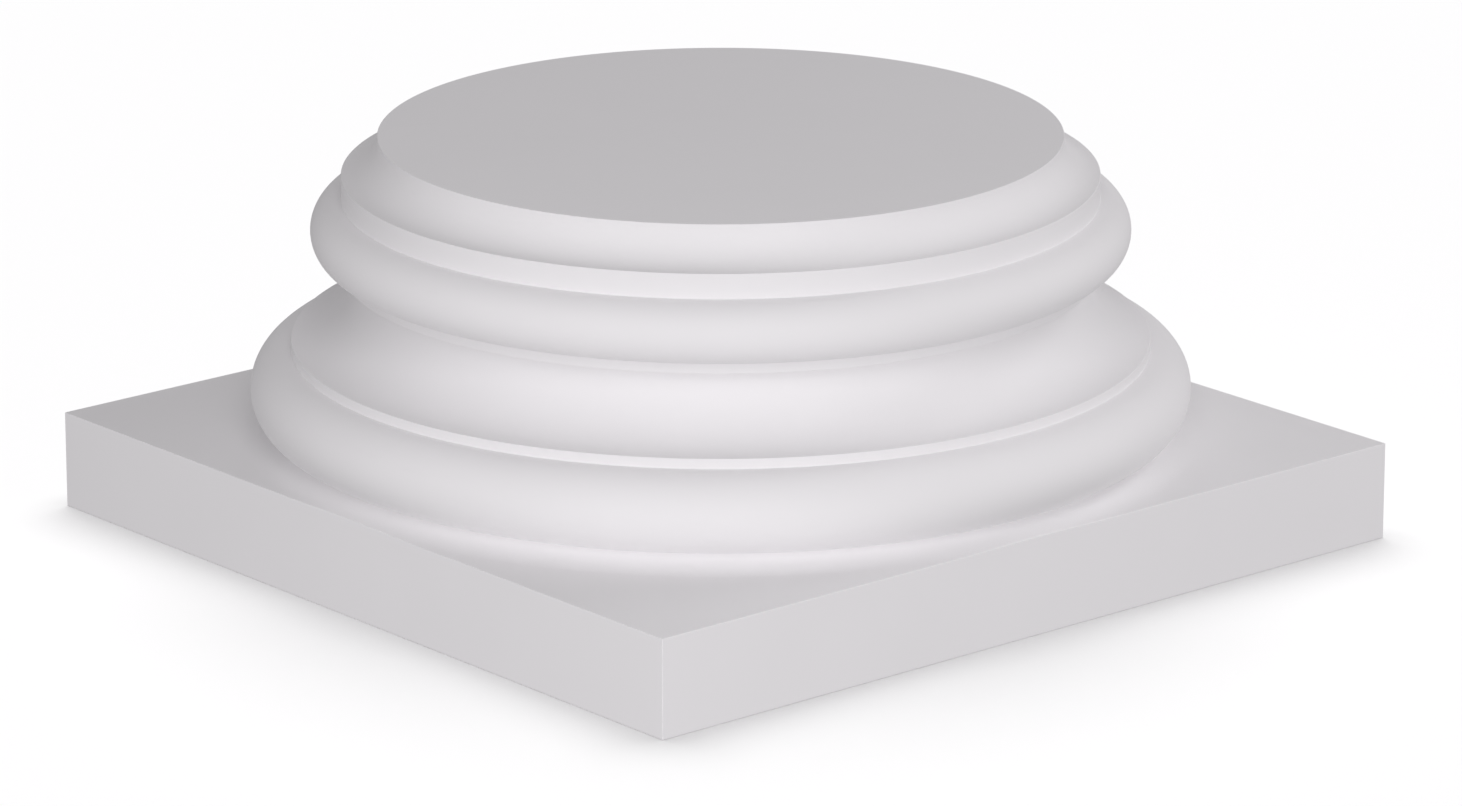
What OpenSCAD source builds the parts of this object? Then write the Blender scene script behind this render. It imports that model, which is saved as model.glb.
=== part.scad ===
// Column base of the Attic pattern, cast in one piece: a square plinth under a stack of turned
// mouldings. The origin is the centre of the underside, Z is the column's axis, sizes are in mm.

/* [Shaft seat] */
// Diameter of the flat top, which is the diameter of the shaft that stands on it
seat_d = 300; // [240:1:380]
// Height of the plain upright edge of the seat
seat_edge_h = 1; // [0.5:0.5:4]
// Radius of the cavetto, the quarter hollow that runs out from the seat to the top fillet
cavetto_r = 16; // [10:0.5:24]
// Height of the tall fillet between the cavetto and the upper torus
top_fillet_h = 11; // [6:0.5:18]

/* [Upper torus] */
// Height of the upper torus, a half round whose middle is in line with the fillets
upper_torus_h = 27.5; // [18:0.5:38]
// Height of the narrow fillet between the upper torus and the scotia
middle_fillet_h = 5; // [2:0.5:10]

/* [Scotia] */
// Radius and height of the scotia, the deep quarter hollow between the tori
scotia_r = 30; // [20:0.5:42]
// How far the scotia cuts in under the middle fillet
scotia_undercut = 7; // [1:0.5:14]
// Height of the narrow fillet between the scotia and the lower torus
lower_fillet_h = 4.5; // [2:0.5:10]

/* [Lower torus] */
// Height of the lower torus, a half round whose middle is in line with the lower fillet
lower_torus_h = 36; // [26:0.5:48]
// Height of the lowest line of the lower torus over the plinth
lower_torus_rise = 4; // [2:0.5:8]
// Radius of the cove that sweeps from under the lower torus out over the plinth
cove_r = 31; // [20:0.5:45]
// Where the cove leaves the lower torus, in degrees below its widest line
cove_start = 70; // [60:1:78]

/* [Plinth] */
// Thickness of the plinth
plinth_t = 43.5; // [25:0.5:70]
// How far each side of the plinth stands out past the lower torus
plinth_margin = 0; // [0:0.5:20]

/* [Hidden] */
// Plan sizes, from the seat outwards
seat_r = seat_d / 2;
fillet_r = seat_r + cavetto_r;
lower_fillet_r = fillet_r - scotia_undercut + scotia_r;
lower_torus_r = lower_torus_h / 2;
plinth_side = 2 * (lower_fillet_r + lower_torus_r + plinth_margin);

// Levels, from the ground up
lower_torus_z = plinth_t + lower_torus_rise;
lower_fillet_z = lower_torus_z + lower_torus_h;
scotia_z = lower_fillet_z + lower_fillet_h;
middle_fillet_z = scotia_z + scotia_r;
upper_torus_z = middle_fillet_z + middle_fillet_h;
top_fillet_z = upper_torus_z + upper_torus_h;
cavetto_z = top_fillet_z + top_fillet_h;
seat_edge_z = cavetto_z + cavetto_r;

// The cove starts on the lower torus and ends level on the plinth
cove_axis_z = plinth_t + cove_r;
cove_start_r = lower_fillet_r + lower_torus_r * cos(cove_start);
cove_start_z = lower_torus_z + lower_torus_r * (1 - sin(cove_start));
cove_foot_r = cove_start_r + sqrt(pow(cove_r, 2) - pow(cove_axis_z - cove_start_z, 2));

$fn = 180;

// Half section of a plain band: a fillet, or the seat's edge
module band(r, z, h) {
    translate([0, z])
        square([r, h]);
}

// Half section of a torus, a half round that swells out from radius r
module torus(r, z, h) {
    band(r, z, h);
    translate([r, z + h / 2])
        circle(d = h);
}

// Half section of a fillet with a quarter hollow of radius hollow_r above it
module hollow(r, z, fillet_h, hollow_r) {
    difference() {
        band(r, z, fillet_h + hollow_r);
        translate([r, z + fillet_h + hollow_r])
            circle(r = hollow_r);
    }
}

// Half section of the plinth's blank with the cove on it, before the sides are cut square
module plinth_blank() {
    band(plinth_side, 0, plinth_t);
    difference() {
        band(cove_foot_r, 0, cove_axis_z);
        translate([cove_foot_r, cove_axis_z])
            circle(r = cove_r);
    }
}

// Half section of the whole base, from the ground up
module outline() {
    plinth_blank();
    torus(lower_fillet_r, lower_torus_z, lower_torus_h);
    hollow(lower_fillet_r, lower_fillet_z, lower_fillet_h, scotia_r);
    band(fillet_r, middle_fillet_z, middle_fillet_h);
    torus(fillet_r, upper_torus_z, upper_torus_h);
    hollow(fillet_r, top_fillet_z, top_fillet_h, cavetto_r);
    band(seat_r, seat_edge_z, seat_edge_h);
}

// What lies outside the square of the plinth, up to where the cove starts
module outside_square() {
    translate([0, 0, -1])
        linear_extrude(cove_start_z + 1)
            difference() {
                square(3 * plinth_side, center = true);
                square(plinth_side, center = true);
            }
}

module column_base() {
    color("whitesmoke")
        difference() {
            rotate_extrude()
                outline();
            outside_square();
        }
}

column_base();
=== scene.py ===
import bpy
from math import cos, pi, radians, sin
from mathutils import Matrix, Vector


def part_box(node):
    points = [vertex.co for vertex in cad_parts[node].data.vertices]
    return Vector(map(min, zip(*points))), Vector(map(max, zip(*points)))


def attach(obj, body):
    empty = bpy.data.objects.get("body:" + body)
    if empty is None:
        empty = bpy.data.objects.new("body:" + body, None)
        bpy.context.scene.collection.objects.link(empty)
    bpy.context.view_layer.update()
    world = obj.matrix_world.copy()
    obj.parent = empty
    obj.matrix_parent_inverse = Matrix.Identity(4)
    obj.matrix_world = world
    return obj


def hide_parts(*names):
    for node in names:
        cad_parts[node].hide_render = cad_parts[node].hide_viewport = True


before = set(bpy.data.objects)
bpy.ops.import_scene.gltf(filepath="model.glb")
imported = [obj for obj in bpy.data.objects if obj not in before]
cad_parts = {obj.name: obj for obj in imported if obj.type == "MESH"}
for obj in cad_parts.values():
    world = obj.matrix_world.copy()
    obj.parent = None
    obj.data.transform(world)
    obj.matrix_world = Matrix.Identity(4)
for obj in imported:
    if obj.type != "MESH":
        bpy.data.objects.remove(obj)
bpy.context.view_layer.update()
mm = 0.001


def toLinear(hexColour):
    # sRGB hex to the linear colour that a shader takes
    channels = [int(hexColour[i:i + 2], 16) / 255 for i in (1, 3, 5)]
    return [c / 12.92 if c <= 0.04045 else ((c + 0.055) / 1.055) ** 2.4 for c in channels] + [1]


def addNode(tree, kind, inputs=(), **settings):
    # inputs are values or what they come from, in order or by name; settings are the node's own
    node = tree.nodes.new(kind)
    for name, value in settings.items():
        setattr(node, name, value)
    for key, value in (inputs.items() if isinstance(inputs, dict) else enumerate(inputs)):
        source = value.outputs[0] if isinstance(value, bpy.types.Node) else value
        if isinstance(source, bpy.types.NodeSocket):
            tree.links.new(source, node.inputs[key])
        else:
            node.inputs[key].default_value = source
    return node


# A long lens, a little above the base, with the plinth's front corner left of the middle
view = {
    "azimuth": 49.57,     # degrees, from looking along +Y towards -X
    "elevation": 16.9,    # degrees
    "distance": 3.3717,   # metres, from the point aimed at
    "aimRight": 0.0045,   # metres, from the axis to the point aimed at, to the camera's right
    "aimHeight": 0.0549,  # metres
    "lens": 188.1,        # mm
    "sensor": 36,         # mm, its width
    "farthest": 200,      # metres, past the far edge of the floor
}


def towards(azimuth, elevation):
    # The direction from the axis out to a camera or a lamp, from angles in degrees
    azimuth, elevation = radians(azimuth), radians(elevation)
    return Vector((sin(azimuth) * cos(elevation), -cos(azimuth) * cos(elevation), sin(elevation)))


def makeCamera():
    camera = bpy.data.objects.new("Camera", bpy.data.cameras.new("Camera"))
    camera.data.sensor_width = view["sensor"]
    camera.data.lens = view["lens"]
    camera.data.clip_end = view["farthest"]
    out = towards(view["azimuth"], view["elevation"])
    aim = towards(view["azimuth"] + 90, 0) * view["aimRight"]
    aim.z = view["aimHeight"]
    camera.location = aim + out * view["distance"]
    camera.rotation_euler = out.to_track_quat("Z", "Y").to_euler()
    bpy.context.scene.collection.objects.link(camera)
    bpy.context.scene.camera = camera


makeCamera()
print("camera placed")


# The base is one section turned about the axis, then drawn out square at the plinth
columnBase = {
    "sizes": {  # mm, and the inputs of the Geometry Nodes tree
        "Seat Diameter": 300,
        "Seat Edge Height": 1,
        "Cavetto Radius": 16,
        "Top Fillet Height": 11,
        "Upper Torus Height": 27.5,
        "Middle Fillet Height": 5,
        "Scotia Undercut": 7,
        "Scotia Radius": 30,
        "Lower Fillet Height": 4.5,
        "Lower Torus Height": 36,
        "Lower Torus Rise": 4,
        "Cove Radius": 31,
        "Edge Margin": 1.2,  # width of the strip that runs beside each of the plinth's edges
    },
    "coveStart": 70,    # degrees below the lower torus's widest line
    "columns": 360,     # faces around the axis, a multiple of 8 so that one edge meets each corner
    "step": 1.4,        # mm, length of a face along a round moulding
    # Faces across the cove and across each straight stretch of the section
    "rows": {"seat": 6, "fillet": 3, "cove": 14, "plinthTop": 10, "plinthSide": 4, "underside": 6},
    "blankShare": 1.5,  # radius of the blank that the plinth is drawn from, as a share of half its side
    "arris": 0.3,       # mm, how far the edges and quirks are rounded
    "arrisFaces": 3,
    "arrisAngle": 40,   # degrees, the least turn from face to face that is rounded
}
# What stands on the plinth, from the ground up
stackedHeights = ("Lower Torus Rise", "Lower Torus Height", "Lower Fillet Height", "Scotia Radius",
                  "Middle Fillet Height", "Upper Torus Height", "Top Fillet Height", "Cavetto Radius",
                  "Seat Edge Height")


def makeBaseTree(material):
    tree = bpy.data.node_groups.new("TurnedAndSquaredBase", "GeometryNodeTree")
    tree.interface.new_socket("Geometry", in_out="OUTPUT", socket_type="NodeSocketGeometry")
    for name in [*columnBase["sizes"], "Plinth Side", "Plinth Thickness"]:
        tree.interface.new_socket(name, in_out="INPUT", socket_type="NodeSocketFloat")
    size = addNode(tree, "NodeGroupInput").outputs
    coveStart = radians(columnBase["coveStart"])
    rows = columnBase["rows"]
    nearly = 0.01 * mm

    # Levels, each at the top of the size that it is named for
    level = {"Plinth Thickness": size["Plinth Thickness"]}
    below = "Plinth Thickness"
    for name in stackedHeights:
        level[name] = addNode(tree, "ShaderNodeMath", [level[below], size[name]], operation="ADD")
        below = name

    # Radii in plan, from the seat outwards
    seatR = addNode(tree, "ShaderNodeMath", [size["Seat Diameter"], 0.5], operation="MULTIPLY")
    filletR = addNode(tree, "ShaderNodeMath", [seatR, size["Cavetto Radius"]], operation="ADD")
    throatR = addNode(tree, "ShaderNodeMath", [filletR, size["Scotia Undercut"]], operation="SUBTRACT")
    lowerR = addNode(tree, "ShaderNodeMath", [throatR, size["Scotia Radius"]], operation="ADD")
    halfSide = addNode(tree, "ShaderNodeMath", [size["Plinth Side"], 0.5], operation="MULTIPLY")

    # The cove leaves the lower torus at its start and ends level on the plinth
    torusR = addNode(tree, "ShaderNodeMath", [size["Lower Torus Height"], 0.5], operation="MULTIPLY")
    startR = addNode(tree, "ShaderNodeMath", [torusR, cos(coveStart), lowerR], operation="MULTIPLY_ADD")
    startZ = addNode(tree, "ShaderNodeMath", [torusR, 1 - sin(coveStart), level["Lower Torus Rise"]],
                     operation="MULTIPLY_ADD")
    coveR = size["Cove Radius"]
    coveSquared = addNode(tree, "ShaderNodeMath", [coveR, coveR], operation="MULTIPLY")
    coveZ = addNode(tree, "ShaderNodeMath", [size["Plinth Thickness"], coveR], operation="ADD")
    drop = addNode(tree, "ShaderNodeMath", [coveZ, startZ], operation="SUBTRACT")
    dropSquared = addNode(tree, "ShaderNodeMath", [drop, drop], operation="MULTIPLY")
    reachSquared = addNode(tree, "ShaderNodeMath", [coveSquared, dropSquared], operation="SUBTRACT")
    reach = addNode(tree, "ShaderNodeMath", [reachSquared], operation="SQRT")
    footR = addNode(tree, "ShaderNodeMath", [startR, reach], operation="ADD")

    # The round blank that the plinth is drawn from, wide enough to hold its corners
    blankR = addNode(tree, "ShaderNodeMath", [halfSide, columnBase["blankShare"]], operation="MULTIPLY")
    rimR = addNode(tree, "ShaderNodeMath", [blankR, size["Edge Margin"]], operation="ADD")
    sideTop = addNode(tree, "ShaderNodeMath", [size["Plinth Thickness"], size["Edge Margin"]],
                      operation="SUBTRACT")

    strokes = []

    def flat(fromR, fromZ, toR, toZ, faces=1):
        start = addNode(tree, "ShaderNodeCombineXYZ", [fromR, fromZ])
        end = addNode(tree, "ShaderNodeCombineXYZ", [toR, toZ])
        line = addNode(tree, "GeometryNodeCurvePrimitiveLine", [start, end])
        strokes.append(addNode(tree, "GeometryNodeSubdivideCurve", {"Curve": line, "Cuts": faces - 1}))

    def facesAlong(name, share, degrees):
        return round(columnBase["sizes"][name] * share * radians(degrees) / columnBase["step"])

    def rounded(centreR, centreZ, radius, start, sweep, faces):
        arc = addNode(tree, "GeometryNodeCurveArc", {
            "Resolution": faces + 1, "Radius": radius,
            "Start Angle": radians(start), "Sweep Angle": radians(sweep)})
        centre = addNode(tree, "ShaderNodeCombineXYZ", [centreR, centreZ])
        strokes.append(addNode(tree, "GeometryNodeTransform", {"Geometry": arc, "Translation": centre}))

    def torus(name, fromR, underside, sweep):
        half = addNode(tree, "ShaderNodeMath", [size[name], 0.5], operation="MULTIPLY")
        middle = addNode(tree, "ShaderNodeMath", [level[underside], half], operation="ADD")
        rounded(fromR, middle, half, 90, -sweep, facesAlong(name, 0.5, sweep))

    def hollow(name, toR):
        rounded(toR, level[name], size[name], 180, 90, facesAlong(name, 1, 90))

    # The section, from the middle of the seat out and down to the middle of the underside
    flat(0, level["Seat Edge Height"], seatR, level["Seat Edge Height"], rows["seat"])
    flat(seatR, level["Seat Edge Height"], seatR, level["Cavetto Radius"])
    hollow("Cavetto Radius", filletR)
    flat(filletR, level["Top Fillet Height"], filletR, level["Upper Torus Height"], rows["fillet"])
    torus("Upper Torus Height", filletR, "Middle Fillet Height", 180)
    flat(filletR, level["Middle Fillet Height"], filletR, level["Scotia Radius"], rows["fillet"])
    flat(filletR, level["Scotia Radius"], throatR, level["Scotia Radius"], rows["fillet"])
    hollow("Scotia Radius", lowerR)
    flat(lowerR, level["Lower Fillet Height"], lowerR, level["Lower Torus Height"], rows["fillet"])
    torus("Lower Torus Height", lowerR, "Lower Torus Rise", 90 + columnBase["coveStart"])
    flat(startR, startZ, footR, size["Plinth Thickness"], rows["cove"])
    flat(footR, size["Plinth Thickness"], blankR, size["Plinth Thickness"], rows["plinthTop"])
    flat(blankR, size["Plinth Thickness"], rimR, size["Plinth Thickness"])
    flat(rimR, size["Plinth Thickness"], rimR, sideTop)
    flat(rimR, sideTop, rimR, size["Edge Margin"], rows["plinthSide"])
    flat(rimR, size["Edge Margin"], rimR, 0)
    flat(rimR, 0, blankR, 0)
    flat(blankR, 0, 0, 0, rows["underside"])
    section = addNode(tree, "GeometryNodeJoinGeometry")
    for stroke in strokes:
        tree.links.new(stroke.outputs[0], section.inputs[0])

    # Turned about the axis: the section is carried round a small circle, so it is set back by as much,
    # and it hangs from that path upside down, so it is turned over first
    turnR = 0.1
    setBack = addNode(tree, "GeometryNodeTransform", {
        "Geometry": section, "Translation": (-turnR, 0, 0), "Rotation": (pi, 0, 0)})
    circle = addNode(tree, "GeometryNodeCurvePrimitiveCircle", {
        "Resolution": columnBase["columns"], "Radius": turnR})
    path = addNode(tree, "GeometryNodeSetCurveNormal", {"Curve": circle}, mode="Z_UP")
    turned = addNode(tree, "GeometryNodeCurveToMesh", {"Curve": path, "Profile Curve": setBack})

    # Drawn out square: the plinth's rows move in or out until the last of them lies on its sides
    position = addNode(tree, "GeometryNodeInputPosition")
    at = addNode(tree, "ShaderNodeSeparateXYZ", [position]).outputs
    acrossX = addNode(tree, "ShaderNodeMath", [at["X"]], operation="ABSOLUTE")
    acrossY = addNode(tree, "ShaderNodeMath", [at["Y"]], operation="ABSOLUTE")
    across = addNode(tree, "ShaderNodeMath", [acrossX, acrossY], operation="MAXIMUM")
    plan = addNode(tree, "ShaderNodeCombineXYZ", [at["X"], at["Y"]])
    radius = addNode(tree, "ShaderNodeVectorMath", [plan], operation="LENGTH").outputs["Value"]
    slant = addNode(tree, "ShaderNodeMath", [radius, across], operation="DIVIDE")
    insideRim = addNode(tree, "ShaderNodeMath", [rimR, radius], operation="SUBTRACT")
    inset = addNode(tree, "ShaderNodeMath", [insideRim, size["Edge Margin"]], operation="MINIMUM")
    squareHalf = addNode(tree, "ShaderNodeMath", [halfSide, inset], operation="SUBTRACT")
    squareR = addNode(tree, "ShaderNodeMath", [squareHalf, slant], operation="MULTIPLY")
    drawn = addNode(tree, "ShaderNodeMapRange", [radius, footR, blankR, 0, 1])
    kept = addNode(tree, "ShaderNodeMath", [radius, squareR], operation="MINIMUM")
    newR = addNode(tree, "ShaderNodeMix", {0: drawn, 2: kept, 3: squareR}, data_type="FLOAT")
    scale = addNode(tree, "ShaderNodeMath", [newR, radius], operation="DIVIDE")
    newX = addNode(tree, "ShaderNodeMath", [at["X"], scale], operation="MULTIPLY")
    newY = addNode(tree, "ShaderNodeMath", [at["Y"], scale], operation="MULTIPLY")

    # The rows on top keep to the cove's curve, which runs out level
    toFoot = addNode(tree, "ShaderNodeMath", [footR, newR], operation="SUBTRACT")
    insideFoot = addNode(tree, "ShaderNodeMath", [toFoot, 0], operation="MAXIMUM")
    insideSquared = addNode(tree, "ShaderNodeMath", [insideFoot, insideFoot], operation="MULTIPLY")
    riseSquared = addNode(tree, "ShaderNodeMath", [coveSquared, insideSquared], operation="SUBTRACT")
    rise = addNode(tree, "ShaderNodeMath", [riseSquared], operation="SQRT")
    coveHeight = addNode(tree, "ShaderNodeMath", [coveZ, rise], operation="SUBTRACT")
    underTop = addNode(tree, "ShaderNodeMath", [size["Plinth Thickness"], nearly], operation="SUBTRACT")
    onTop = addNode(tree, "FunctionNodeCompare", [at["Z"], underTop], operation="GREATER_THAN")
    newZ = addNode(tree, "GeometryNodeSwitch", [onTop, at["Z"], coveHeight], input_type="FLOAT")

    placed = addNode(tree, "ShaderNodeCombineXYZ", [newX, newY, newZ])
    overStart = addNode(tree, "ShaderNodeMath", [startZ, nearly], operation="ADD")
    isPlinth = addNode(tree, "FunctionNodeCompare", [at["Z"], overStart], operation="LESS_THAN")
    squared = addNode(tree, "GeometryNodeSetPosition", {
        "Geometry": turned, "Selection": isPlinth, "Position": placed})

    welded = addNode(tree, "GeometryNodeMergeByDistance", {"Geometry": squared, "Distance": nearly / 2})
    smooth = addNode(tree, "GeometryNodeSetShadeSmooth", {"Geometry": welded})
    real = addNode(tree, "GeometryNodeRealizeInstances", {"Geometry": smooth})
    painted = addNode(tree, "GeometryNodeSetMaterial", {"Geometry": real, "Material": material})
    addNode(tree, "NodeGroupOutput", [painted])
    return tree


def makeBase(material):
    low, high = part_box("column_base")
    sizes = {name: value * mm for name, value in columnBase["sizes"].items()}
    sizes["Plinth Side"] = high.x - low.x
    sizes["Plinth Thickness"] = high.z - sum(sizes[name] for name in stackedHeights)

    base = bpy.data.objects.new("ColumnBase", bpy.data.meshes.new("ColumnBase"))
    bpy.context.scene.collection.objects.link(base)
    turning = base.modifiers.new("Turning", "NODES")
    turning.node_group = makeBaseTree(material)
    for socket in turning.node_group.interface.items_tree:
        if socket.in_out == "INPUT":
            turning[socket.identifier] = sizes[socket.name]
    arris = base.modifiers.new("Arris", "BEVEL")
    arris.width = columnBase["arris"] * mm
    arris.segments = columnBase["arrisFaces"]
    arris.limit_method = "ANGLE"
    arris.angle_limit = radians(columnBase["arrisAngle"])
    arris.use_clamp_overlap = False
    arris.miter_outer = "MITER_SHARP"
    base.modifiers.new("Shading", "WEIGHTED_NORMAL")

    solid = base.evaluated_get(bpy.context.evaluated_depsgraph_get())
    mesh = bpy.data.meshes.new_from_object(solid)
    base.modifiers.clear()
    base.data = mesh
    base.data.name = "ColumnBase"
    return base


# Satin white primer, sprayed on moulded rigid polyurethane: a smooth, even white with a faint, broad
# sheen and no grain; close up, the coat is a little cloudy and has the slightest orange peel
primer = {
    "thin": "#F2F1F2",          # where the coat is thinnest
    "thick": "#F5F4F5",         # and where it is thickest
    "cloudSize": 60,            # mm
    "cloudRange": (0.3, 0.7),   # of the noise, from the thin to the thick coat
    "roughness": (0.76, 0.84),  # of the thin and of the thick coat
    "ior": 1.5,                 # acrylic
    "peelSize": 1.6,            # mm
    "peelDepth": 0.004,         # mm
}


def makePrimer():
    material = bpy.data.materials.new("SatinPrimerOnPolyurethane")
    material.use_nodes = True
    tree = material.node_tree
    tree.nodes.clear()
    here = addNode(tree, "ShaderNodeTexCoord").outputs["Object"]
    cloud = addNode(tree, "ShaderNodeTexNoise", {
        "Vector": here, "Scale": 1 / (primer["cloudSize"] * mm), "Detail": 3}).outputs["Fac"]
    colour = addNode(tree, "ShaderNodeMix", {
        0: cloud, 6: toLinear(primer["thin"]), 7: toLinear(primer["thick"])}, data_type="RGBA")
    sheen = addNode(tree, "ShaderNodeMapRange", [cloud, *primer["cloudRange"], *primer["roughness"]])
    peel = addNode(tree, "ShaderNodeTexNoise", {
        "Vector": here, "Scale": 1 / (primer["peelSize"] * mm), "Detail": 1})
    bump = addNode(tree, "ShaderNodeBump", {
        "Strength": 1, "Distance": primer["peelDepth"] * mm, "Height": peel})
    coat = addNode(tree, "ShaderNodeBsdfPrincipled", {
        "Base Color": colour.outputs[2], "Roughness": sheen, "IOR": primer["ior"], "Normal": bump})
    addNode(tree, "ShaderNodeOutputMaterial", [coat])
    return material


base = makeBase(makePrimer())
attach(base, "root")
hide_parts("column_base")
print("base turned and squared:", len(base.data.vertices), "points")


# A white sweep: soft lamps and an even room for the base, and a light from behind for the floor
lamps = {
    # name: degrees round from the camera, elevation, distance and size in m, watts
    "Key": (6, 12, 2.0, 0.9, 9.1),
    "UpperFill": (0, 38, 2.0, 0.9, 6.6),
    "LeftFill": (-45, 3, 1.5, 0.5, 2.65),
    "RightFill": (75, 5, 1.5, 0.5, 2.0),
    "RightRim": (120, 30, 2.0, 0.7, 6.9),
    "BackFill": (180, 6, 2.0, 0.7, 6.0),
}
room = {
    "colour": "#FFFDFF",   # of the lamps and of the room's own light
    "strength": 0.335,
    "seen": "#FFFFFF",     # what the camera sees past the floor
}
floorSheet = {
    "colour": "#F4F4F4",
    "reach": 40,           # metres each way
    "turn": 180,           # its light: degrees round from the camera
    "elevation": 72,       # degrees
    "softness": 70,        # degrees across
    "distance": 2,         # metres, which makes no difference to its light
    "strength": 2.52,
}


def makeFloor():
    # Only the camera sees it, and the light for the base passes it, so it neither shades nor tints
    material = bpy.data.materials.new("MattWhiteFloor")
    material.use_nodes = True
    shader = material.node_tree.nodes["Principled BSDF"]
    shader.inputs["Base Color"].default_value = toLinear(floorSheet["colour"])
    shader.inputs["Roughness"].default_value = 1
    shader.inputs["Specular IOR Level"].default_value = 0
    reach = floorSheet["reach"]
    mesh = bpy.data.meshes.new("Floor")
    mesh.from_pydata([(-reach, -reach, 0), (reach, -reach, 0), (reach, reach, 0), (-reach, reach, 0)],
                     [], [(0, 1, 2, 3)])
    mesh.materials.append(material)
    floor = bpy.data.objects.new("Floor", mesh)
    floor.visible_diffuse = False
    floor.visible_glossy = False
    floor.visible_shadow = False
    bpy.context.scene.collection.objects.link(floor)
    return floor


def placeLamp(light, lit, turn, elevation, distance):
    # The lamp faces the origin, and only the object lit takes its light
    out = towards(view["azimuth"] + turn, elevation)
    lamp = bpy.data.objects.new(light.name, light)
    lamp.location = out * distance
    lamp.rotation_euler = out.to_track_quat("Z", "Y").to_euler()
    receiver = bpy.data.collections.new("LitBy" + light.name)
    receiver.objects.link(lit)
    lamp.light_linking.receiver_collection = receiver
    bpy.context.scene.collection.objects.link(lamp)


def makeLights(base, floor):
    for name, (turn, elevation, distance, size, power) in lamps.items():
        light = bpy.data.lights.new(name, "AREA")
        light.shape = "DISK"
        light.size = size
        light.energy = power
        light.color = toLinear(room["colour"])[:3]
        placeLamp(light, base, turn, elevation, distance)
    light = bpy.data.lights.new("FloorLight", "SUN")
    light.angle = radians(floorSheet["softness"])
    light.energy = floorSheet["strength"]
    placeLamp(light, floor, floorSheet["turn"], floorSheet["elevation"], floorSheet["distance"])


def makeRoom():
    world = bpy.data.worlds.new("Room")
    world.use_nodes = True
    tree = world.node_tree
    tree.nodes.clear()
    rays = addNode(tree, "ShaderNodeLightPath")
    glow = addNode(tree, "ShaderNodeBackground", [toLinear(room["colour"]), room["strength"]])
    seen = addNode(tree, "ShaderNodeBackground", [toLinear(room["seen"]), 1])
    both = addNode(tree, "ShaderNodeMixShader", [rays.outputs["Is Camera Ray"], glow, seen])
    addNode(tree, "ShaderNodeOutputWorld", [both])
    bpy.context.scene.world = world


makeLights(base, makeFloor())
makeRoom()
bpy.context.scene.view_settings.view_transform = "Standard"
print("floor and light set")
